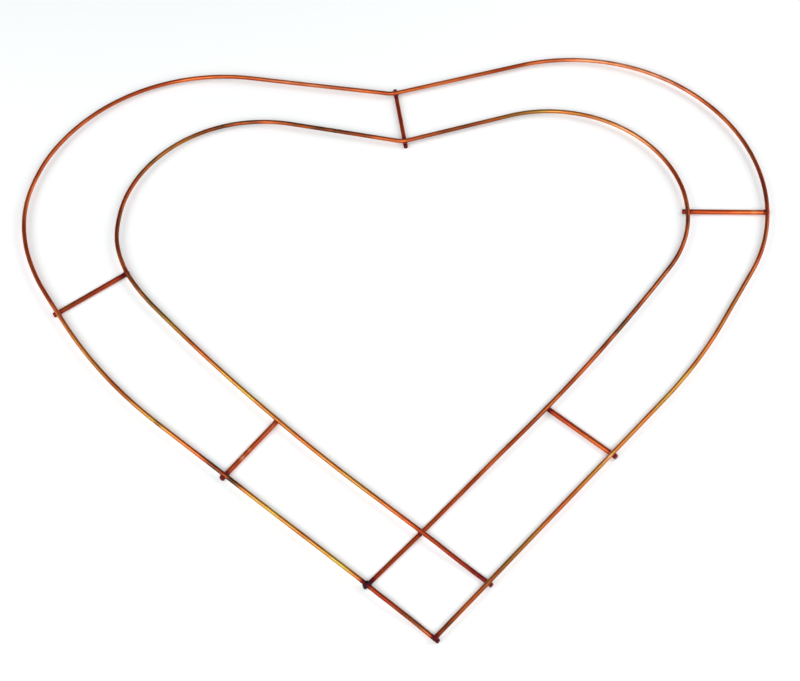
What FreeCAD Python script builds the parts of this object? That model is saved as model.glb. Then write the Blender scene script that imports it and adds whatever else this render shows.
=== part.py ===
"""A flat heart-shaped wreath frame of copper-washed steel wire, laid flat.

Two wire hearts, one inside the other, are held apart by five short crossbars.  The ends of the
inner heart cross and run on under the outer heart, which makes a small square at the tip.  Every
place where wires cross is resistance welded: the wires sink a little into each other, and a small
bead of metal is left round the contact.

Millimetres.  +Z is up, +X is across the heart and -Y is towards the tip.  The frame rests on the
plane z = 0, and the origin is under the middle of its outline.
"""

import FreeCAD, Part
import math
import os

V = FreeCAD.Vector
UP = V(0, 0, 1)

# ---- driving dimensions ------------------------------------------------------------------------

RING_WIRE_D = 2.03        # the two hearts and the notch crossbar, 14 gauge wire
BAR_WIRE_D = 2.34         # the other crossbars, 13 gauge wire
BAR_SET_DOWN = 0.60       # how far a heart wire sinks into a crossbar at a weld

NOTCH_BEND_R = 12.0       # centreline radius of the V bend at the top of both hearts

# Each half of a heart starts at a wire end beside the tip.  It runs up a straight strand, round a
# shallow bend, along a second straight, round the side and the top of the lobe, and then straight
# down to the notch.  The wire is bent by hand round a jig, so the halves differ a little.
# start: x and y of the wire end; heading: degrees between the strand and the x axis.
# strand and flank: straight lengths; shallow, side and top: (radius, degrees of turn).
# dip: where the strand climbs from table level to ring level, as distances from its wire end.  The
# outer left strand starts under the outer right one, and both inner strands under the outer heart.
OUTER_LEFT = dict(start=(2.1, -0.6), heading=44.35, dip=(7.2, 30.2), strand=164.5,
                  shallow=(229.0, 17.5), flank=24.4, side=(83.6, 62.6), top=(91.6, 67.7))
OUTER_RIGHT = dict(start=(0.0, -0.2), heading=45.4, dip=None, strand=158.6,
                   shallow=(244.5, 12.5), flank=31.3, side=(89.8, 88.9), top=(89.0, 46.1))
INNER_LEFT = dict(start=(26.3, 24.1), heading=44.35, dip=(6.3, 33.3), strand=68.0,
                  shallow=(1020.0, 8.2), flank=4.0, side=(63.1, 65.4), top=(66.5, 77.2))
INNER_RIGHT = dict(start=(-26.8, 27.1), heading=44.5, dip=(42.0, 90.0), strand=93.4,
                   shallow=(999.0, 7.2), flank=0.2, side=(59.1, 61.5), top=(64.6, 80.6))
DIP_BEND_R = 60.0         # radius of the two bends that make each dip

# Crossbars: wire diameter, outer end and inner end.  Each pokes a little past the wires it joins.
CROSSBARS = {
    "notch_crossbar": (RING_WIRE_D, (1.8, 305.0), (5.0, 267.8)),
    "left_upper_crossbar": (BAR_WIRE_D, (-163.2, 177.1), (-129.4, 199.4)),
    "left_lower_crossbar": (BAR_WIRE_D, (-87.2, 84.0), (-61.8, 112.9)),
    "right_upper_crossbar": (BAR_WIRE_D, (174.8, 216.4), (133.9, 219.4)),
    "right_lower_crossbar": (BAR_WIRE_D, (86.5, 84.4), (58.7, 111.8)),
}

# A weld bead is a squashed ball round the contact, less the two wires.
BEAD_R = 1.80
BEAD_HALF_HEIGHT = 0.90
CRUMB_SHARE = 0.01        # the most of a bead's volume that may be cut off as crumbs

# ---- levels --------------------------------------------------------------------------------------

RING_R = RING_WIRE_D / 2
RING_Z = BAR_WIRE_D + RING_R - BAR_SET_DOWN    # both hearts lie on the crossbars
LOW_Z = RING_R                                 # where a heart wire dips to pass under another


# ---- outlines ------------------------------------------------------------------------------------

def direction(angle):
    """The unit vector at an angle from the x axis."""
    return V(math.cos(angle), math.sin(angle), 0)


def line_crossing(p, angle_p, q, angle_q):
    """Where the line through p at angle_p meets the line through q at angle_q, seen from above."""
    a = direction(angle_p)
    b = direction(angle_q)
    gap = q - p
    along = (gap.x * b.y - gap.y * b.x) / (a.x * b.y - a.y * b.x)
    return p + a * along


class Path:
    """A run of line and arc edges, each tangent to the last, drawn like a pen."""

    def __init__(self, point, angle):
        self.point = point
        self.angle = angle
        self.edges = []

    def line(self, length):
        end = self.point + direction(self.angle) * length
        self.edges.append(Part.LineSegment(self.point, end).toShape())
        self.point = end

    def arc(self, radius, turn):
        """Turn by an angle in radians, positive to the left."""
        side = math.copysign(1, turn)
        centre = self.point + direction(self.angle + side * math.pi / 2) * radius
        middle = centre + direction(self.angle + turn / 2 - side * math.pi / 2) * radius
        end = centre + direction(self.angle + turn - side * math.pi / 2) * radius
        self.edges.append(Part.Arc(self.point, middle, end).toShape())
        self.point = end
        self.angle += turn

    def dip(self, length, rise):
        """Go on in plan by length while changing height by rise, through two equal bends."""
        ahead = direction(self.angle)
        slope = dip_slope(length, abs(rise))
        up = math.copysign(1, rise)
        run = DIP_BEND_R * math.sin(slope)
        lift = DIP_BEND_R * (1 - math.cos(slope)) * up
        half_run = DIP_BEND_R * math.sin(slope / 2)
        half_lift = DIP_BEND_R * (1 - math.cos(slope / 2)) * up
        start = self.point
        finish = start + ahead * length + UP * rise
        low = start + ahead * run + UP * lift
        high = finish - ahead * run - UP * lift
        self.edges.append(Part.Arc(start, start + ahead * half_run + UP * half_lift, low).toShape())
        self.edges.append(Part.LineSegment(low, high).toShape())
        self.edges.append(Part.Arc(high, finish - ahead * half_run - UP * half_lift, finish).toShape())
        self.point = finish


def dip_slope(length, rise):
    """The slope of a dip's straight middle, so that it joins its two bends smoothly."""
    radius = 2 * DIP_BEND_R
    reach = math.hypot(length, radius - rise)
    return math.asin(radius / reach) - math.atan2(radius - rise, length)


def strand_and_lobe(half, side):
    """Half a heart from its wire end to the start of its last straight; side is 1 right, -1 left."""
    heading = math.radians(half["heading"])
    dip = half["dip"]
    path = Path(V(half["start"][0], half["start"][1], LOW_Z if dip else RING_Z),
                heading if side > 0 else math.pi - heading)
    if dip:
        path.line(dip[0])
        path.dip(dip[1] - dip[0], RING_Z - LOW_Z)
        path.line(half["strand"] - dip[1])
    else:
        path.line(half["strand"])
    path.strand_edges = list(path.edges)
    path.arc(half["shallow"][0], side * math.radians(half["shallow"][1]))
    path.line(half["flank"])
    path.arc(half["side"][0], side * math.radians(half["side"][1]))
    path.arc(half["top"][0], side * math.radians(half["top"][1]))
    return path


def heart_half(half, other, side):
    """The centreline of half a heart, from its wire end to the middle of the V bend."""
    path = strand_and_lobe(half, side)
    opposite = strand_and_lobe(other, -side)
    notch = line_crossing(path.point, path.angle, opposite.point, opposite.angle)
    turn = math.remainder(opposite.angle + math.pi - path.angle, 2 * math.pi)
    path.line((notch - path.point).Length - NOTCH_BEND_R * math.tan(abs(turn) / 2))
    path.arc(NOTCH_BEND_R, turn / 2)
    return path


# ---- solids ------------------------------------------------------------------------------------------

def wire_solid(edges, radius):
    """A round wire along a run of tangent edges."""
    first = edges[0]
    start = first.valueAt(first.FirstParameter)
    ahead = first.tangentAt(first.FirstParameter)
    section = Part.Face(Part.Wire([Part.Circle(start, ahead, radius).toShape()]))
    return Part.Wire(edges).makePipe(section)


def crossbar_spine(outer_end, inner_end, radius):
    """The centreline of a crossbar, which lies on the table."""
    start = V(outer_end[0], outer_end[1], radius)
    end = V(inner_end[0], inner_end[1], radius)
    return Part.LineSegment(start, end).toShape()


def weld_bead(lower_spine, lower_r, upper_spine, upper_r, wires):
    """The bead round the contact of two crossing wires, which fills the corners between them."""
    lower_point, upper_point = lower_spine.distToShape(upper_spine)[1][0]
    contact_z = (lower_point.z + lower_r + upper_point.z - upper_r) / 2
    centre = V(lower_point.x, lower_point.y, contact_z)
    upright = Part.Ellipse(V(0, 0, 0), BEAD_R, BEAD_HALF_HEIGHT)
    upright.transform(FreeCAD.Placement(centre, FreeCAD.Rotation(V(1, 0, 0), 90)).toMatrix())
    outline = Part.ArcOfEllipse(upright, -math.pi / 2, math.pi / 2).toShape()
    top = outline.valueAt(outline.LastParameter)
    bottom = outline.valueAt(outline.FirstParameter)
    section = Part.Face(Part.Wire([outline, Part.LineSegment(top, bottom).toShape()]))
    return section.revolve(centre, UP, 360).cut(wires)


def main_solid(shape, name):
    """The solid in a shape, without any crumb that a cut leaves beside a wire's end."""
    solids = sorted(shape.Solids, key=lambda solid: solid.Volume)
    crumbs = sum(solid.Volume for solid in solids[:-1])
    if crumbs > CRUMB_SHARE * solids[-1].Volume or not solids[-1].isValid():
        raise ValueError(f"{name} came out as {len(solids)} solids")
    return solids[-1]


# ---- the frame -----------------------------------------------------------------------------------

def build():
    """Every piece of the frame, by name."""
    outer_left = heart_half(OUTER_LEFT, OUTER_RIGHT, -1)
    outer_right = heart_half(OUTER_RIGHT, OUTER_LEFT, 1)
    inner_left = heart_half(INNER_LEFT, INNER_RIGHT, -1)
    inner_right = heart_half(INNER_RIGHT, INNER_LEFT, 1)

    # Each heart is one wire, whose strands are welded to each other where they cross by the tip.
    outer = wire_solid(outer_left.edges, RING_R).fuse(wire_solid(outer_right.edges, RING_R))
    inner = wire_solid(inner_left.edges, RING_R).fuse(wire_solid(inner_right.edges, RING_R))
    inner = inner.cut(outer)
    pieces = {"outer_heart_wire": outer, "inner_heart_wire": inner}

    # (lower centreline, its radius, upper centreline) of each weld; every upper wire is a heart's.
    outer_spine = Part.makeCompound(outer_left.edges + outer_right.edges)
    inner_spine = Part.makeCompound(inner_left.edges + inner_right.edges)
    strands = {half: Part.makeCompound(path.strand_edges) for half, path in (
        ("outer_left", outer_left), ("outer_right", outer_right),
        ("inner_left", inner_left), ("inner_right", inner_right))}
    welds = {
        "weld_tip": (strands["outer_left"], RING_R, strands["outer_right"]),
        "weld_inner_crossing": (strands["inner_right"], RING_R, strands["inner_left"]),
        "weld_inner_left_end": (strands["inner_left"], RING_R, strands["outer_right"]),
        "weld_inner_right_end": (strands["inner_right"], RING_R, strands["outer_left"]),
    }
    for name, (diameter, outer_end, inner_end) in CROSSBARS.items():
        radius = diameter / 2
        spine = crossbar_spine(outer_end, inner_end, radius)
        pieces[name] = wire_solid([spine], radius).cut([outer, inner])
        place = name.replace("_crossbar", "")
        welds[f"weld_{place}_outer"] = (spine, radius, outer_spine)
        welds[f"weld_{place}_inner"] = (spine, radius, inner_spine)

    wires = list(pieces.values())
    for name, (lower, lower_r, upper) in welds.items():
        pieces[name] = weld_bead(lower, lower_r, upper, RING_R, wires)
    return pieces


os.makedirs("parts", exist_ok=True)
pieces = build()
outline = pieces["outer_heart_wire"].optimalBoundingBox(False, False)
to_origin = V(-outline.Center.x, -outline.Center.y, 0)
for name, shape in pieces.items():
    solid = main_solid(shape, name)
    solid.translate(to_origin)
    solid.exportStep(f"parts/{name}.step")
    print(f"{name}: {solid.Volume:.2f} mm3")
print(f"overall {outline.XLength:.2f} x {outline.YLength:.2f} x {outline.ZMax:.2f} mm")
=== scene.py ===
"""Looks of a flat heart-shaped wreath frame of copper-washed wire, built round its CAD model.

Blender works in metres.  The sizes of wires and welds below are in millimetres, as a wire bender
would write them, and MM turns them into metres.  Their places are measured from the tip, seen from
above, with +Y towards the notch.  The outline's dimensions are those of the CAD model, and the CAD
node of the outer heart sets the outline in place.
"""

import math

import bmesh
import bpy
import numpy as np
from mathutils import Matrix, Vector, noise


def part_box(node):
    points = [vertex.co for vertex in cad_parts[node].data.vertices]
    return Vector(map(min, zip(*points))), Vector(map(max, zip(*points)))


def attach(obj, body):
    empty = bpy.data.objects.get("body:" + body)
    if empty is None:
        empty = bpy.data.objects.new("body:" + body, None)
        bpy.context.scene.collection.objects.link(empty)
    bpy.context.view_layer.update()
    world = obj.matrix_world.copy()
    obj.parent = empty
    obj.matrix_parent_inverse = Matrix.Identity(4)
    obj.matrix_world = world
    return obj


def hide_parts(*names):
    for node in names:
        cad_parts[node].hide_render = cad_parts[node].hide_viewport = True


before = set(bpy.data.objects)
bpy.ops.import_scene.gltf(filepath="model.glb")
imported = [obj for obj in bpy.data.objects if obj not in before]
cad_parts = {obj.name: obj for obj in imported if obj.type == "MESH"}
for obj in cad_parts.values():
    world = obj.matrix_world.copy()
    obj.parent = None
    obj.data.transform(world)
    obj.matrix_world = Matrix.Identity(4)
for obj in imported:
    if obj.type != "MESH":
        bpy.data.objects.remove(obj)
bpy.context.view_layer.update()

MM = 0.001

# ---- sizes, in millimetres and degrees -----------------------------------------------------------

RING_R = 2.03 / 2         # the two hearts and the notch crossbar
BAR_R = 2.34 / 2          # the other crossbars
SET_DOWN = 0.60           # how far the hearts sink into the thick crossbars at the welds
RING_Z = 2 * BAR_R + RING_R - SET_DOWN
LOW_Z = RING_R            # a strand that passes under another wire lies on the table
NOTCH_BEND_R = 12.0
DIP_BEND_R = 60.0         # of the two bends by which a strand comes down to the table

# Half a heart from its wire end near the tip, with (radius, turn) for each bend.  dip is where the
# strand begins and ends its climb from the table, and strand is its whole straight length.
OUTER_LEFT = dict(start=(2.1, -0.6), heading=44.35, dip=(7.2, 30.2), strand=164.5,
                  shallow=(229.0, 17.5), flank=24.4, side=(83.6, 62.6), top=(91.6, 67.7))
OUTER_RIGHT = dict(start=(0.0, -0.2), heading=45.4, dip=None, strand=158.6,
                   shallow=(244.5, 12.5), flank=31.3, side=(89.8, 88.9), top=(89.0, 46.1))
INNER_LEFT = dict(start=(26.3, 24.1), heading=44.35, dip=(6.3, 33.3), strand=68.0,
                  shallow=(1020.0, 8.2), flank=4.0, side=(63.1, 65.4), top=(66.5, 77.2))
INNER_RIGHT = dict(start=(-26.8, 27.1), heading=44.5, dip=(42.0, 90.0), strand=93.4,
                   shallow=(999.0, 7.2), flank=0.2, side=(59.1, 61.5), top=(64.6, 80.6))

# Crossbars: wire radius, outer end, inner end.
CROSSBARS = {
    "notch": (RING_R, (1.8, 305.0), (5.0, 267.8)),
    "left_upper": (BAR_R, (-163.2, 177.1), (-129.4, 199.4)),
    "left_lower": (BAR_R, (-87.2, 84.0), (-61.8, 112.9)),
    "right_upper": (BAR_R, (174.8, 216.4), (133.9, 219.4)),
    "right_lower": (BAR_R, (86.5, 84.4), (58.7, 111.8)),
}

STEP = 1.0                # between the rings of a wire's mesh
LEAST_ARC_STEPS = 4
WIRE_SIDES = 24
END_BEVEL = 0.16          # the rounded rim of a sheared wire end
RIM_ANGLES = (0, 30, 60)  # round that rim, from the end face to the wire's side
WOBBLE = 0.10             # how far a hand-straightened wire wanders from its line
WOBBLE_LENGTH = 45.0

# Where a strand waves out of line: wire, place from the tip in plan, reach, and how far outward.
WAVES = [
    ("outer_heart", (-7, 7), 11, -0.25),
    ("outer_heart", (-21, 21), 13, 0.20),
    ("outer_heart", (-174, 203), 22, -0.35),
    ("outer_heart", (-178, 240), 22, 0.30),
    ("outer_heart", (168, 190), 60, 0.35),
    ("inner_heart", (23, 27), 20, -0.32),
    ("inner_heart", (-124, 191), 14, -0.40),
    ("inner_heart", (-135, 217), 16, 0.35),
]

STRAND_REACH = 90         # steps of a route that take in the strand beside its end
END_REACH = 12            # steps that take in the last weld before a wire's end

# Weld beads
BEAD_VOXEL = 0.11         # the grain of a bead's mesh
BEAD_SMOOTHING = 10       # how often its corners are smoothed
BEAD_STUB = 1.45          # how far a bead reaches along each wire
BEAD_UNDERSIZE = 0.22     # how far its stubs lie under the wires' own surfaces
BEAD_OVERLAP = 0.15       # how far its stubs lie towards each other from the wires' middles
BEAD_MIDDLE = (1.45, 1.45, 0.80)
BEAD_SIDES = 32
BALL_SUBDIVISIONS = 4
BEAD_LUMPS = 0.08         # how far its skin wanders in and out
LUMP_SCALE = 0.9          # lumps per millimetre
PIMPLES = 0.5             # the share of smaller lumps
PIMPLE_SCALE = 2.3
BEAD_SEED_STEP = 3.7      # between one bead's noise and the next

# Metal thrown out beside a weld: weld, offset from the contact, half sizes.
SPATTER = [
    ("weld_inner_right_end", (0.1, 0.0, 0.60), (1.80, 1.80, 1.35)),
    ("weld_left_lower_outer", (-0.9, -0.9, -0.3), (1.05, 1.05, 0.90)),
    ("weld_inner_crossing", (-0.2, -1.2, -0.7), (0.60, 0.60, 0.55)),
]

# ---- colours, heat, stains and painted highlights ------------------------------------------------

# The copper wash, bright and deep, on the hearts and on the crossbars.
HEART_COPPER = (0.64, 0.142, 0.038)
HEART_DEEP = (0.36, 0.056, 0.015)
BAR_COPPER = (0.64, 0.125, 0.030)
BAR_DEEP = (0.46, 0.065, 0.017)

# Crimson through purple to black, by how scorched the metal is.
SCORCH_COLOURS = ((0.0, (0.36, 0.05, 0.022)), (0.4, (0.16, 0.012, 0.012)),
                  (0.75, (0.035, 0.008, 0.014)), (1.0, (0.010, 0.006, 0.007)))

# Noise per metre, along a wire and across it: broad mottling, small patches, and drawing marks.
MOTTLE_SCALE = (45, 260, 260)
PATCH_SCALE = (160, 500, 500)
STREAK_SCALE = (60, 6500, 6500)
WIRE_RELIEF = 0.00008     # metres

# The same for the weld beads' coarse and fine scale, and for the paper's fibres.
COARSE_SCALE = 700
FINE_SCALE = 4200
BEAD_RELIEF = 0.00012     # metres
FIBRE_SCALE = 900

# Where a weld's heat has coloured a wire: weld, wire, reach in millimetres, strength at the weld.
HEAT = [
    ("weld_tip", "outer_heart", 4.5, 0.55),
    ("weld_inner_crossing", "inner_heart", 3.0, 0.25),
    ("weld_inner_left_end", "inner_heart", 6.0, 0.45),
    ("weld_inner_left_end", "inner_heart", 26.0, 0.36),
    ("weld_inner_left_end", "outer_heart", 3.0, 0.12),
    ("weld_inner_right_end", "inner_heart", 8.0, 0.80),
    ("weld_inner_right_end", "outer_heart", 5.0, 0.95),
    ("weld_notch_outer", "notch_crossbar", 6.0, 0.45),
    ("weld_notch_outer", "outer_heart", 3.0, 0.15),
    ("weld_notch_inner", "notch_crossbar", 6.0, 0.60),
    ("weld_notch_inner", "inner_heart", 3.0, 0.20),
    ("weld_left_upper_outer", "left_upper_crossbar", 5.0, 0.35),
    ("weld_left_upper_inner", "left_upper_crossbar", 9.0, 0.50),
    ("weld_left_upper_inner", "inner_heart", 4.5, 0.35),
    ("weld_left_lower_outer", "left_lower_crossbar", 5.0, 0.50),
    ("weld_left_lower_outer", "outer_heart", 3.5, 0.40),
    ("weld_left_lower_inner", "left_lower_crossbar", 3.0, 0.25),
    ("weld_right_upper_outer", "right_upper_crossbar", 4.0, 0.30),
    ("weld_right_upper_inner", "right_upper_crossbar", 4.5, 0.50),
    ("weld_right_upper_inner", "inner_heart", 3.5, 0.25),
    ("weld_right_lower_outer", "right_lower_crossbar", 4.5, 0.45),
    ("weld_right_lower_inner", "right_lower_crossbar", 5.5, 0.60),
    ("weld_right_lower_inner", "inner_heart", 3.0, 0.12),
]

# How far and how strongly a wire's own sheared ends are scorched.
END_SCORCH = {"outer_heart": (2.6, 0.85), "inner_heart": (2.2, 0.50)}
BAR_END_SCORCH = (2.6, 0.55)

# How black a bead is, from 0 to 1.
BEAD_SCORCH = 0.40
BURNT = {"weld_inner_right_end": 0.95, "weld_tip": 0.60, "weld_left_lower_outer": 0.60}

# The kinds of stain on the copper wash, each laid over the one before it. The last, pale kind is
# no stain but a painted highlight, where the lamps shine on the wire.
STAIN_AND_HIGHLIGHT_COLOURS = {
    "gold": (0.52, 0.33, 0.058),
    "brown": (0.075, 0.036, 0.016),
    "blush": (0.32, 0.038, 0.016),
    # painted highlight: the pale glint of the lamps on the wire
    "painted_highlight": (0.86, 0.36, 0.190),
}

# Stains and painted highlights, clockwise round each wire from the tip: wire, place in plan, reach,
# kind and strength. The pale kind among them is a painted highlight, not a stain.
STAINS_AND_HIGHLIGHTS = [
    ("outer_heart", (-10, 10), 22, "brown", 0.80),
    ("outer_heart", (-20, 20), 16, "blush", 1.40),
    ("outer_heart", (-40, 39), 26, "gold", 1.25),
    ("outer_heart", (-66, 65), 26, "gold", 1.25),
    ("outer_heart", (-88, 86), 19, "brown", 1.60),
    ("outer_heart", (-116, 112), 4, "brown", 1.20),
    ("outer_heart", (-120, 116), 34, "gold", 0.70),
    ("outer_heart", (-130, 128), 40, "brown", 0.15),
    ("outer_heart", (-148, 152), 34, "gold", 0.50),
    ("outer_heart", (-140, 280), 70, "blush", 0.60),
    ("outer_heart", (-40, 311), 36, "painted_highlight", 0.35),
    ("outer_heart", (118, 305), 52, "painted_highlight", 0.85),
    ("outer_heart", (168, 246), 28, "brown", 0.70),
    ("outer_heart", (175, 229), 17, "brown", 1.60),
    ("outer_heart", (173, 232), 26, "blush", 1.00),
    ("outer_heart", (176, 202), 4, "brown", 1.20),
    ("outer_heart", (174, 200), 20, "brown", 0.65),
    ("outer_heart", (158, 168), 40, "brown", 0.45),
    ("outer_heart", (150, 155), 40, "gold", 0.35),
    ("outer_heart", (118, 118), 42, "gold", 0.80),
    ("outer_heart", (84, 84), 40, "gold", 0.75),
    ("outer_heart", (82, 83), 5, "painted_highlight", 0.80),
    ("outer_heart", (38, 36), 34, "gold", 0.60),
    ("outer_heart", (34, 33), 34, "brown", 0.50),
    ("outer_heart", (7, 7), 15, "brown", 0.70),
    ("inner_heart", (14, 37), 18, "blush", 1.60),
    ("inner_heart", (13, 38), 15, "brown", 1.00),
    ("inner_heart", (-34, 82), 40, "gold", 0.70),
    ("inner_heart", (-75, 124), 42, "gold", 0.95),
    ("inner_heart", (-112, 172), 34, "gold", 0.85),
    ("inner_heart", (-116, 180), 26, "brown", 0.80),
    ("inner_heart", (-126, 192), 16, "brown", 0.70),
    ("inner_heart", (-132, 226), 32, "brown", 0.80),
    ("inner_heart", (-112, 262), 32, "brown", 0.80),
    ("inner_heart", (-108, 268), 26, "gold", 0.75),
    ("inner_heart", (-80, 284), 34, "brown", 0.90),
    ("inner_heart", (-34, 276), 42, "brown", 0.95),
    ("inner_heart", (32, 277), 34, "brown", 0.65),
    ("inner_heart", (60, 285), 34, "brown", 0.50),
    ("inner_heart", (74, 286), 38, "gold", 0.75),
    ("inner_heart", (108, 266), 34, "gold", 0.55),
    ("inner_heart", (112, 264), 28, "painted_highlight", 0.55),
    ("inner_heart", (135, 210), 34, "brown", 0.65),
    ("inner_heart", (120, 180), 30, "brown", 1.00),
    ("inner_heart", (98, 154), 34, "brown", 1.00),
    ("inner_heart", (60, 114), 34, "brown", 0.60),
    ("inner_heart", (-20, 32), 14, "blush", 1.00),
    ("notch_crossbar", (4, 287), 26, "blush", 1.00),
    ("left_upper_crossbar", (-142, 190), 22, "blush", 0.80),
    ("left_upper_crossbar", (-154, 184), 17, "brown", 0.55),
    ("left_lower_crossbar", (-80, 92), 12, "blush", 0.55),
    ("left_lower_crossbar", (-78, 94), 2.2, "painted_highlight", 0.70),
    ("left_lower_crossbar", (-75, 98), 1.6, "painted_highlight", 0.60),
    ("left_lower_crossbar", (-64, 110), 13, "painted_highlight", 0.30),
    ("right_upper_crossbar", (150, 218), 9, "blush", 0.50),
    ("right_upper_crossbar", (168, 217), 2.4, "painted_highlight", 0.60),
    ("right_lower_crossbar", (64, 106), 14, "blush", 0.70),
    ("right_lower_crossbar", (76, 95), 18, "brown", 0.28),
]

# ---- wire routes ---------------------------------------------------------------------------------


class Pen:
    """Draws a route as points about STEP apart, each run tangent to the last."""

    def __init__(self, x, y, z, angle):
        self.points = [(x, y, z)]
        self.angle = angle

    def along(self, length, height_at=lambda share: 0.0):
        """Go straight by length, with a height above the start that depends on the share done."""
        x, y, z = self.points[-1]
        count = max(round(length / STEP), 1)
        for i in range(1, count + 1):
            share = i / count
            self.points.append((x + math.cos(self.angle) * length * share,
                                y + math.sin(self.angle) * length * share,
                                z + height_at(share)))

    def dip(self, length, rise):
        """Change height by rise over length, through two equal bends and a straight slope."""
        reach = math.hypot(length, 2 * DIP_BEND_R - rise)
        slope = (math.asin(2 * DIP_BEND_R / reach)
                 - math.atan2(2 * DIP_BEND_R - rise, length))
        run = DIP_BEND_R * math.sin(slope)

        def bend(distance):
            return DIP_BEND_R - math.sqrt(DIP_BEND_R ** 2 - distance ** 2)

        def height_at(share):
            distance = share * length
            if distance < run:
                return bend(distance)
            if distance > length - run:
                return rise - bend(length - distance)
            return bend(run) + (distance - run) * math.tan(slope)

        self.along(length, height_at)

    def arc(self, radius, turn):
        """Bend by a signed angle in radians, positive to the left."""
        x, y, z = self.points[-1]
        side = math.copysign(1, turn)
        centre_x = x - side * math.sin(self.angle) * radius
        centre_y = y + side * math.cos(self.angle) * radius
        count = max(round(radius * abs(turn) / STEP), LEAST_ARC_STEPS)
        for i in range(1, count + 1):
            angle = self.angle + turn * i / count
            self.points.append((centre_x + side * math.sin(angle) * radius,
                                centre_y - side * math.cos(angle) * radius, z))
        self.angle += turn


def strand_and_lobe(half, side):
    """Half a heart up to its last straight; side is 1 on the right and -1 on the left."""
    heading = math.radians(half["heading"])
    pen = Pen(*half["start"], LOW_Z if half["dip"] else RING_Z,
              heading if side > 0 else math.pi - heading)
    if half["dip"]:
        first, last = half["dip"]
        pen.along(first)
        pen.dip(last - first, RING_Z - LOW_Z)
        pen.along(half["strand"] - last)
    else:
        pen.along(half["strand"])
    for bend in ("shallow", "side", "top"):
        radius, turn = half[bend]
        pen.arc(radius, side * math.radians(turn))
        if bend == "shallow":
            pen.along(half["flank"])
    return pen


def heart_route(left, right):
    """A whole heart from its left strand's end to its right strand's end."""
    pens = [strand_and_lobe(left, -1), strand_and_lobe(right, 1)]
    ends = [np.array(pen.points[-1][:2]) for pen in pens]
    ahead = [np.array((math.cos(pen.angle), math.sin(pen.angle))) for pen in pens]
    to_notch = np.linalg.solve(np.column_stack([ahead[0], -ahead[1]]), ends[1] - ends[0])
    turn = math.remainder(pens[1].angle + math.pi - pens[0].angle, 2 * math.pi)
    trim = NOTCH_BEND_R * math.tan(abs(turn) / 2)
    for pen, straight, half_turn in zip(pens, to_notch, (turn / 2, -turn / 2)):
        pen.along(straight - trim)
        pen.arc(NOTCH_BEND_R, half_turn)
    return np.array(pens[0].points + pens[1].points[-2::-1])


def bar_route(radius, outer_end, inner_end):
    """A crossbar from its outer end to its inner end, lying on the table."""
    start = np.array((*outer_end, radius))
    end = np.array((*inner_end, radius))
    count = round(float(np.linalg.norm(end - start)) / STEP)
    return start + (end - start) * np.linspace(0, 1, count + 1)[:, None]


def route_to_frame(route):
    """How far the outline moves so that it lies where the CAD node of the outer heart lies."""
    low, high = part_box("outer_heart_wire")
    middle = (Vector(low) + Vector(high)) / 2
    return np.array((middle.x / MM - (route[:, 0].min() + route[:, 0].max()) / 2,
                     middle.y / MM - (route[:, 1].min() + route[:, 1].max()) / 2, 0.0))


outer_route = heart_route(OUTER_LEFT, OUTER_RIGHT)
inner_route = heart_route(INNER_LEFT, INNER_RIGHT)
to_frame = route_to_frame(outer_route)
ROUTES = {"outer_heart": (outer_route + to_frame, RING_R),
          "inner_heart": (inner_route + to_frame, RING_R)}
for bar, (bar_r, outer_end, inner_end) in CROSSBARS.items():
    ROUTES[f"{bar}_crossbar"] = (bar_route(bar_r, outer_end, inner_end) + to_frame, bar_r)


# ---- welds ---------------------------------------------------------------------------------------

def crossing(lower, upper):
    """Where two routes pass over each other: (lower index, upper index) of their nearest points."""
    gaps = np.linalg.norm(lower[:, None, :2] - upper[None, :, :2], axis=2)
    return np.unravel_index(gaps.argmin(), gaps.shape)


def weld_place(lower, lower_r, upper):
    """A weld's contact point, the two wires' directions there, and the lower wire's radius."""
    i, j = crossing(lower, upper)
    i = min(max(i, 1), len(lower) - 2)
    j = min(max(j, 1), len(upper) - 2)
    lower_ahead = lower[i + 1] - lower[i - 1]
    upper_ahead = upper[j + 1] - upper[j - 1]
    # slide along the lower wire to the exact crossing
    sides = np.column_stack([lower_ahead[:2], -upper_ahead[:2]])
    slide = np.linalg.solve(sides, upper[j, :2] - lower[i, :2])[0]
    x, y = lower[i, :2] + slide * lower_ahead[:2]
    z = (lower[i, 2] + lower_r + upper[j, 2] - RING_R) / 2
    return (np.array((x, y, z)), lower_ahead / np.linalg.norm(lower_ahead),
            upper_ahead / np.linalg.norm(upper_ahead), lower_r)


outer, inner = ROUTES["outer_heart"][0], ROUTES["inner_heart"][0]
WELDS = {
    "weld_tip": weld_place(outer[:END_REACH], RING_R, outer[-END_REACH:]),
    "weld_inner_crossing": weld_place(inner[-STRAND_REACH:], RING_R, inner[:STRAND_REACH]),
    "weld_inner_left_end": weld_place(inner[:END_REACH], RING_R, outer[-STRAND_REACH:]),
    "weld_inner_right_end": weld_place(inner[-END_REACH:], RING_R, outer[:STRAND_REACH]),
}
for bar, (bar_r, _, _) in CROSSBARS.items():
    route = ROUTES[f"{bar}_crossbar"][0]
    WELDS[f"weld_{bar}_outer"] = weld_place(route[:END_REACH], bar_r, outer)
    WELDS[f"weld_{bar}_inner"] = weld_place(route[-END_REACH:], bar_r, inner)


# ---- meshes --------------------------------------------------------------------------------------

def new_object(name, mesh, material):
    """An object for a finished mesh, riding on the frame's one body."""
    obj = bpy.data.objects.new(name, mesh)
    bpy.context.scene.collection.objects.link(obj)
    mesh.materials.append(material)
    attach(obj, "root")
    return obj


def bump_at(distance, reach):
    """1 at no distance, falling smoothly to 0 at reach."""
    share = np.clip(1 - distance / reach, 0, 1)
    return share * share * (3 - 2 * share)


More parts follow.
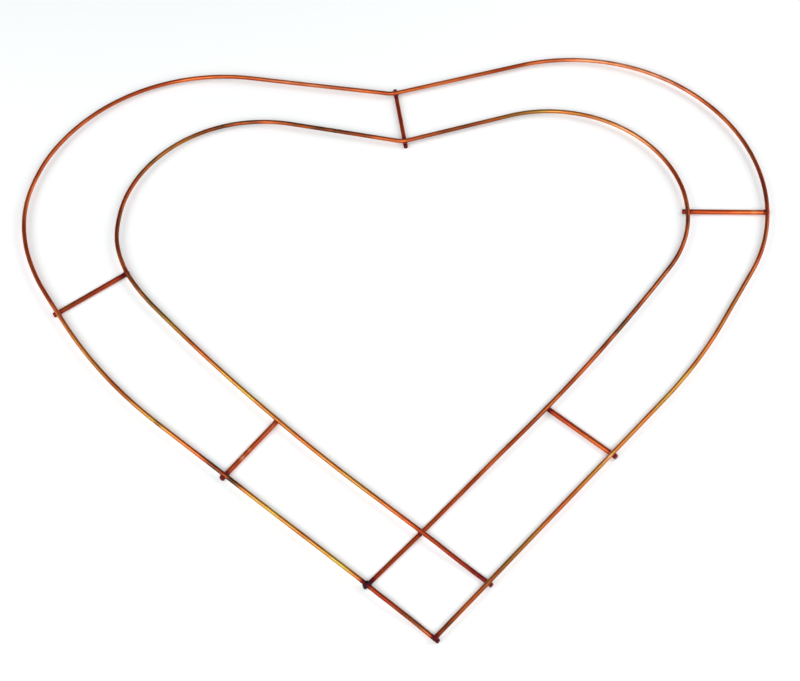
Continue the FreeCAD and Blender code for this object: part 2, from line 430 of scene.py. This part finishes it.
def wandering(wire, seed):
    """A wire's route with its few clear waves and the slight wander of hand-straightened wire."""
    route = ROUTES[wire][0]
    ahead = np.gradient(route, axis=0)
    ahead /= np.linalg.norm(ahead, axis=1)[:, None]
    sideways = np.column_stack([-ahead[:, 1], ahead[:, 0], np.zeros(len(route))])
    drift = WOBBLE * np.array([noise.noise(Vector((i * STEP / WOBBLE_LENGTH, seed, 0.5)))
                               for i in range(len(route))])
    for waved, where, reach, outward in WAVES:
        if waved == wire:
            distance = np.linalg.norm(route[:, :2] - to_frame[:2] - where, axis=1)
            drift += bump_at(distance, reach) * outward
    return route + sideways * drift[:, None]


def tube_rings(route, radius):
    """The rings of a wire's mesh: route points with their radii, and a rounded rim at each end."""
    ahead = np.gradient(route, axis=0)
    ahead /= np.linalg.norm(ahead, axis=1)[:, None]
    rims = [(END_BEVEL * (1 - math.cos(math.radians(angle))),
             radius - END_BEVEL * (1 - math.sin(math.radians(angle)))) for angle in RIM_ANGLES]
    first = [(route[0] + ahead[0] * depth, ring_r, ahead[0]) for depth, ring_r in rims]
    last = [(route[-1] - ahead[-1] * depth, ring_r, ahead[-1]) for depth, ring_r in rims]
    middle = [(point, radius, way) for point, way in zip(route[1:-1], ahead[1:-1])]
    return first + middle + last[::-1]


def wire_mesh(name, wire, seed):
    """A closed round wire, with its straightened position stored for the material to read."""
    rings = tube_rings(wandering(wire, seed), ROUTES[wire][1])
    angles = np.linspace(0, 2 * math.pi, WIRE_SIDES, endpoint=False)
    points, drawn = [], []
    travelled = 0.0
    for i, (centre, ring_r, ahead) in enumerate(rings):
        if i:
            travelled += float(np.linalg.norm(centre - rings[i - 1][0]))
        side = np.array((-ahead[1], ahead[0], 0.0))
        side /= np.linalg.norm(side)
        up = np.cross(ahead, side)
        for angle in angles:
            out = side * math.cos(angle) + up * math.sin(angle)
            points.append((centre + out * ring_r) * MM)
            drawn.append((travelled * MM, math.cos(angle) * ring_r * MM,
                          math.sin(angle) * ring_r * MM))
    faces = []
    for ring in range(len(rings) - 1):
        base = ring * WIRE_SIDES
        for k in range(WIRE_SIDES):
            after = (k + 1) % WIRE_SIDES
            faces.append((base + k, base + after, base + WIRE_SIDES + after, base + WIRE_SIDES + k))
    last = (len(rings) - 1) * WIRE_SIDES
    faces.append(tuple(range(WIRE_SIDES))[::-1])
    faces.append(tuple(range(last, last + WIRE_SIDES)))
    mesh = bpy.data.meshes.new(name)
    mesh.from_pydata(points, [], faces)
    mesh.polygons.foreach_set("use_smooth", [len(face) == 4 for face in faces])
    store_vectors(mesh, "drawn", drawn)
    return mesh


def store_vectors(mesh, name, values):
    """Store one vector per vertex."""
    mesh.attributes.new(name, "FLOAT_VECTOR", "POINT")
    mesh.attributes[name].data.foreach_set("vector", np.ravel(values))


def store_numbers(mesh, name, values):
    """Store one number per vertex."""
    mesh.attributes.new(name, "FLOAT", "POINT")
    mesh.attributes[name].data.foreach_set("value", np.ravel(values))


def store_marks(mesh, wire):
    """Store how stained and how scorched each vertex is, and how much painted highlight it has."""
    places = np.empty(len(mesh.vertices) * 3)
    mesh.vertices.foreach_get("co", places)
    places = places.reshape(-1, 3) / MM
    scorch = np.zeros(len(places))
    for weld, heated, reach, strength in HEAT:
        if heated == wire:
            distance = np.linalg.norm(places - WELDS[weld][0], axis=1)
            scorch = np.maximum(scorch, bump_at(distance, reach) * strength)
    reach, strength = END_SCORCH.get(wire, BAR_END_SCORCH)
    for end in (ROUTES[wire][0][0], ROUTES[wire][0][-1]):
        distance = np.linalg.norm(places - end, axis=1)
        scorch = np.maximum(scorch, bump_at(distance, reach) * strength)
    store_numbers(mesh, "scorch", scorch)
    for kind in STAIN_AND_HIGHLIGHT_COLOURS:
        amount = np.zeros(len(places))
        for marked_wire, where, reach, mark_kind, strength in STAINS_AND_HIGHLIGHTS:
            if marked_wire == wire and mark_kind == kind:
                centre = np.array(where) + to_frame[:2]
                distance = np.linalg.norm(places[:, :2] - centre, axis=1)
                amount = np.maximum(amount, bump_at(distance, reach) * strength)
        store_numbers(mesh, kind, amount)


def bead_mesh(name, place, seed):
    """The collar of squeezed metal round a weld: thin stubs of both wires melted into a blob."""
    centre, lower_ahead, upper_ahead, lower_r = place
    bm = bmesh.new()
    for height, ahead, radius in ((BEAD_OVERLAP - lower_r, lower_ahead, lower_r),
                                  (RING_R - BEAD_OVERLAP, upper_ahead, RING_R)):
        turn = Vector(ahead).to_track_quat("Z", "Y").to_matrix().to_4x4()
        bmesh.ops.create_cone(bm, cap_ends=True, segments=BEAD_SIDES, radius1=radius - BEAD_UNDERSIZE,
                              radius2=radius - BEAD_UNDERSIZE, depth=2 * BEAD_STUB,
                              matrix=Matrix.Translation(centre + (0, 0, height)) @ turn)
    balls = [((0, 0, 0), BEAD_MIDDLE)] + [ball[1:] for ball in SPATTER if ball[0] == name]
    for offset, half_sizes in balls:
        bmesh.ops.create_icosphere(bm, subdivisions=BALL_SUBDIVISIONS, radius=1.0,
                                   matrix=(Matrix.Translation(centre + np.array(offset))
                                           @ Matrix.Diagonal((*half_sizes, 1))))
    mesh = bpy.data.meshes.new(name)
    bm.to_mesh(mesh)
    bm.free()
    mesh = melted(mesh, name)
    places = np.empty(len(mesh.vertices) * 3)
    mesh.vertices.foreach_get("co", places)
    places = places.reshape(-1, 3)
    outward = np.empty(len(mesh.vertices) * 3)
    mesh.vertex_normals.foreach_get("vector", outward)
    lumps = [noise.noise(Vector(spot) * LUMP_SCALE + Vector((seed, 0, 0)))
             + PIMPLES * noise.noise(Vector(spot) * PIMPLE_SCALE + Vector((0, seed, 0)))
             for spot in places]
    places += outward.reshape(-1, 3) * (np.array(lumps) * BEAD_LUMPS)[:, None]
    mesh.vertices.foreach_set("co", np.ravel(places * MM))
    mesh.polygons.foreach_set("use_smooth", [True] * len(mesh.polygons))
    store_numbers(mesh, "scorch", np.full(len(places), BURNT.get(name, BEAD_SCORCH)))
    return mesh


def melted(mesh, name):
    """One closed skin round a mesh's overlapping shells, smoothed so that its corners fill in."""
    source = bpy.data.objects.new(name + "_source", mesh)
    bpy.context.scene.collection.objects.link(source)
    remesh = source.modifiers.new("skin", "REMESH")
    remesh.mode = "VOXEL"
    remesh.voxel_size = BEAD_VOXEL
    smooth = source.modifiers.new("melt", "SMOOTH")
    smooth.iterations = BEAD_SMOOTHING
    graph = bpy.context.evaluated_depsgraph_get()
    skin = bpy.data.meshes.new_from_object(source.evaluated_get(graph))
    bpy.data.objects.remove(source)
    skin.name = name
    return skin


# ---- materials -----------------------------------------------------------------------------------

class Nodes:
    """A short way to lay out a material's nodes."""

    def __init__(self, name):
        self.material = bpy.data.materials.new(name)
        self.material.use_nodes = True
        self.tree = self.material.node_tree
        self.shader = self.tree.nodes["Principled BSDF"]

    def add(self, kind, inputs=None, **settings):
        """A node; inputs holds a number, a colour or another node's output for each socket."""
        node = self.tree.nodes.new(kind)
        for key, value in settings.items():
            setattr(node, key, value)
        for socket, value in (inputs or {}).items():
            if isinstance(value, bpy.types.NodeSocket):
                self.tree.links.new(value, node.inputs[socket])
            else:
                node.inputs[socket].default_value = value
        return node

    def number(self, name):
        """A number stored on the mesh."""
        return self.add("ShaderNodeAttribute", attribute_name=name).outputs["Fac"]

    def stretched(self, scale):
        """The straightened position along a wire, scaled per axis."""
        place = self.add("ShaderNodeAttribute", attribute_name="drawn").outputs["Vector"]
        return self.add("ShaderNodeMapping", {"Vector": place, "Scale": scale}).outputs["Vector"]

    def placed(self, scale):
        """The place on the object, scaled evenly."""
        place = self.add("ShaderNodeTexCoord").outputs["Object"]
        return self.add("ShaderNodeMapping", {"Vector": place, "Scale": (scale,) * 3}).outputs["Vector"]

    def grain(self, vector, detail=3.0, roughness=0.55):
        """Noise from 0 to 1 over a vector whose scale is already set."""
        return self.add("ShaderNodeTexNoise", {"Vector": vector, "Scale": 1.0, "Detail": detail,
                                               "Roughness": roughness}).outputs["Fac"]

    def span(self, value, low, high, to_low=0.0, to_high=1.0):
        """Map a value's range to another range, without going past its ends."""
        return self.add("ShaderNodeMapRange", {"Value": value, "From Min": low, "From Max": high,
                                               "To Min": to_low, "To Max": to_high}).outputs["Result"]

    def maths(self, operation, a, b):
        """One operation on two values."""
        return self.add("ShaderNodeMath", {0: a, 1: b}, operation=operation).outputs["Value"]

    def blend(self, factor, a, b):
        """Colour a where factor is 0 and colour b where it is 1."""
        node = self.add("ShaderNodeMix", {"Factor": factor}, data_type="RGBA")
        for socket, value in ((node.inputs[6], a), (node.inputs[7], b)):
            if isinstance(value, bpy.types.NodeSocket):
                self.tree.links.new(value, socket)
            else:
                socket.default_value = (*value, 1)
        return node.outputs[2]

    def to_shader(self, socket, value):
        """Feed the shader's socket."""
        self.tree.links.new(value, self.shader.inputs[socket])


def scorch_colour(nodes, amount):
    """The colour of metal scorched by an amount from 0 to 1."""
    ramp = nodes.add("ShaderNodeValToRGB", {"Fac": amount})
    stops = ramp.color_ramp.elements
    while len(stops) < len(SCORCH_COLOURS):
        stops.new(0.5)
    for stop, (place, colour) in zip(stops, SCORCH_COLOURS):
        stop.position = place
        stop.color = (*colour, 1)
    return ramp.outputs["Color"]


def copper_material(name, base, deep):
    """Copper-washed drawn wire: mottled, tarnished in places, with painted highlights, scorched at the
    welds.
    """
    nodes = Nodes(name)
    mottle = nodes.grain(nodes.stretched(MOTTLE_SCALE))
    patches = nodes.grain(nodes.stretched(PATCH_SCALE), detail=4.0)
    streaks = nodes.grain(nodes.stretched(STREAK_SCALE), detail=2.0)

    # colour: the wash, then the stains and the painted highlights in broken patches, then the heat with
    # a ragged edge
    colour = nodes.blend(nodes.span(mottle, 0.40, 0.60), base, deep)
    broken = nodes.span(patches, 0.34, 0.60, to_low=0.30)
    for kind, stain_or_highlight in STAIN_AND_HIGHLIGHT_COLOURS.items():
        colour = nodes.blend(nodes.maths("MULTIPLY", nodes.number(kind), broken), colour, stain_or_highlight)
    ragged = nodes.maths("MULTIPLY", nodes.number("scorch"),
                         nodes.span(patches, 0.3, 0.7, to_low=0.75, to_high=1.25))
    colour = nodes.blend(nodes.span(ragged, 0.02, 0.30), colour, scorch_colour(nodes, ragged))
    nodes.to_shader("Base Color", colour)

    # roughness: duller where the wash is mottled and where it is scorched, streaked by the drawing
    dull = nodes.maths("ADD", nodes.span(mottle, 0.3, 0.7, to_low=0.34, to_high=0.47),
                       nodes.maths("MULTIPLY", ragged, 0.22))
    streaked = nodes.span(streaks, 0.3, 0.7, to_low=-0.03, to_high=0.05)
    nodes.to_shader("Roughness", nodes.maths("ADD", dull, streaked))
    nodes.shader.inputs["Metallic"].default_value = 1.0

    relief = nodes.maths("ADD", streaks, nodes.maths("MULTIPLY", patches, 0.6))
    bump = nodes.add("ShaderNodeBump", {"Height": relief, "Strength": 0.30, "Distance": WIRE_RELIEF})
    nodes.to_shader("Normal", bump.outputs["Normal"])
    return nodes.material


def weld_material():
    """Weld metal: dull, lumpy, crimson to black with heat scale."""
    nodes = Nodes("weld_scale")
    coarse = nodes.grain(nodes.placed(COARSE_SCALE))
    fine = nodes.grain(nodes.placed(FINE_SCALE))
    uneven = nodes.span(coarse, 0.3, 0.7, to_low=-0.25, to_high=0.25)
    scorch = nodes.maths("ADD", nodes.number("scorch"), uneven)
    nodes.to_shader("Base Color", scorch_colour(nodes, scorch))
    nodes.to_shader("Roughness", nodes.span(fine, 0.3, 0.7, to_low=0.38, to_high=0.62))
    nodes.shader.inputs["Metallic"].default_value = 0.9
    bump = nodes.add("ShaderNodeBump", {"Height": nodes.maths("ADD", coarse, fine),
                                        "Strength": 0.5, "Distance": BEAD_RELIEF})
    nodes.to_shader("Normal", bump.outputs["Normal"])
    return nodes.material


def floor_material():
    """Matt white paper."""
    nodes = Nodes("white_paper")
    fibre = nodes.span(nodes.grain(nodes.placed(FIBRE_SCALE)), 0.3, 0.7)
    nodes.to_shader("Base Color", nodes.blend(fibre, (0.90, 0.90, 0.90), (0.92, 0.92, 0.92)))
    nodes.shader.inputs["Roughness"].default_value = 0.75
    nodes.shader.inputs["Specular IOR Level"].default_value = 0.2
    return nodes.material


# ---- the object ----------------------------------------------------------------------------------

heart_copper = copper_material("heart_copper", HEART_COPPER, HEART_DEEP)
bar_copper = copper_material("crossbar_copper", BAR_COPPER, BAR_DEEP)
weld_metal = weld_material()

for seed, wire in enumerate(ROUTES):
    heart = wire.endswith("heart")
    node = f"{wire}_wire" if heart else wire
    mesh = wire_mesh(f"{node}_drawn", wire, seed)
    store_marks(mesh, wire)
    piece = new_object(f"{node}_drawn", mesh, heart_copper if heart else bar_copper)
    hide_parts(node)

for seed, (weld, place) in enumerate(WELDS.items()):
    piece = new_object(f"{weld}_bead", bead_mesh(weld, place, seed * BEAD_SEED_STEP), weld_metal)
    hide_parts(weld)


# ---- floor, light and camera ---------------------------------------------------------------------

# In metres and degrees, like everything below.
FLOOR_HALF = 2.5
FLOOR_DROP = 0.00001      # keeps the floor's face clear of the wires that lie on it

ROOM_COLOUR = (0.90, 0.98, 1.0)
ROOM_STRENGTH = 0.30

# Softboxes: name, place, size and power.
SOFTBOXES = [
    ("softbox_left", (-0.82, -0.26, 0.62), 0.7, 6.2),
    ("softbox_right", (0.80, 0.16, 0.56), 0.7, 5.6),
    ("softbox_front", (0, -1.15, 1.05), 0.9, 14.0),
]

CAMERA_TARGET = (-0.00285, -0.00718, 0.003)
CAMERA_DISTANCE = 0.9727
CAMERA_AZIMUTH = -3.08
CAMERA_ELEVATION = 54.98
CAMERA_ROLL = -0.43
CAMERA_LENS = 96.04       # millimetres, on a sensor CAMERA_SENSOR wide
CAMERA_SENSOR = 36
CAMERA_CLIP = (0.01, 50)


def floor():
    """A plain pale floor under the frame."""
    mesh = bpy.data.meshes.new("floor")
    corners = [(-FLOOR_HALF, -FLOOR_HALF), (FLOOR_HALF, -FLOOR_HALF),
               (FLOOR_HALF, FLOOR_HALF), (-FLOOR_HALF, FLOOR_HALF)]
    mesh.from_pydata([(x, y, -FLOOR_DROP) for x, y in corners], [], [(0, 1, 2, 3)])
    obj = bpy.data.objects.new("floor", mesh)
    bpy.context.scene.collection.objects.link(obj)
    mesh.materials.append(floor_material())


def softbox(name, place, size, power):
    """A square area light that faces the middle of the frame."""
    light = bpy.data.lights.new(name, "AREA")
    light.shape = "SQUARE"
    light.size = size
    light.energy = power
    obj = bpy.data.objects.new(name, light)
    bpy.context.scene.collection.objects.link(obj)
    obj.location = place
    obj.rotation_euler = (-Vector(place)).to_track_quat("-Z", "Y").to_euler()


def studio():
    """Even fill from the room, and the softboxes."""
    world = bpy.data.worlds.new("studio")
    bpy.context.scene.world = world
    world.use_nodes = True
    background = world.node_tree.nodes["Background"]
    background.inputs["Color"].default_value = (*ROOM_COLOUR, 1)
    background.inputs["Strength"].default_value = ROOM_STRENGTH
    for name, place, size, power in SOFTBOXES:
        softbox(name, place, size, power)


def camera():
    """The camera, in front of the tip and above it, looking at the middle of the heart."""
    azimuth, elevation = math.radians(CAMERA_AZIMUTH), math.radians(CAMERA_ELEVATION)
    back = Vector((math.sin(azimuth) * math.cos(elevation),
                   -math.cos(azimuth) * math.cos(elevation), math.sin(elevation)))
    data = bpy.data.cameras.new("camera")
    data.sensor_width = CAMERA_SENSOR
    data.lens = CAMERA_LENS
    data.clip_start, data.clip_end = CAMERA_CLIP
    obj = bpy.data.objects.new("camera", data)
    bpy.context.scene.collection.objects.link(obj)
    obj.location = Vector(CAMERA_TARGET) + back * CAMERA_DISTANCE
    roll = Matrix.Rotation(math.radians(CAMERA_ROLL), 4, "Z").to_quaternion()
    obj.rotation_mode = "QUATERNION"
    obj.rotation_quaternion = (-back).to_track_quat("-Z", "Y") @ roll
    bpy.context.scene.camera = obj


floor()
studio()
camera()
bpy.context.scene.view_settings.view_transform = "Standard"
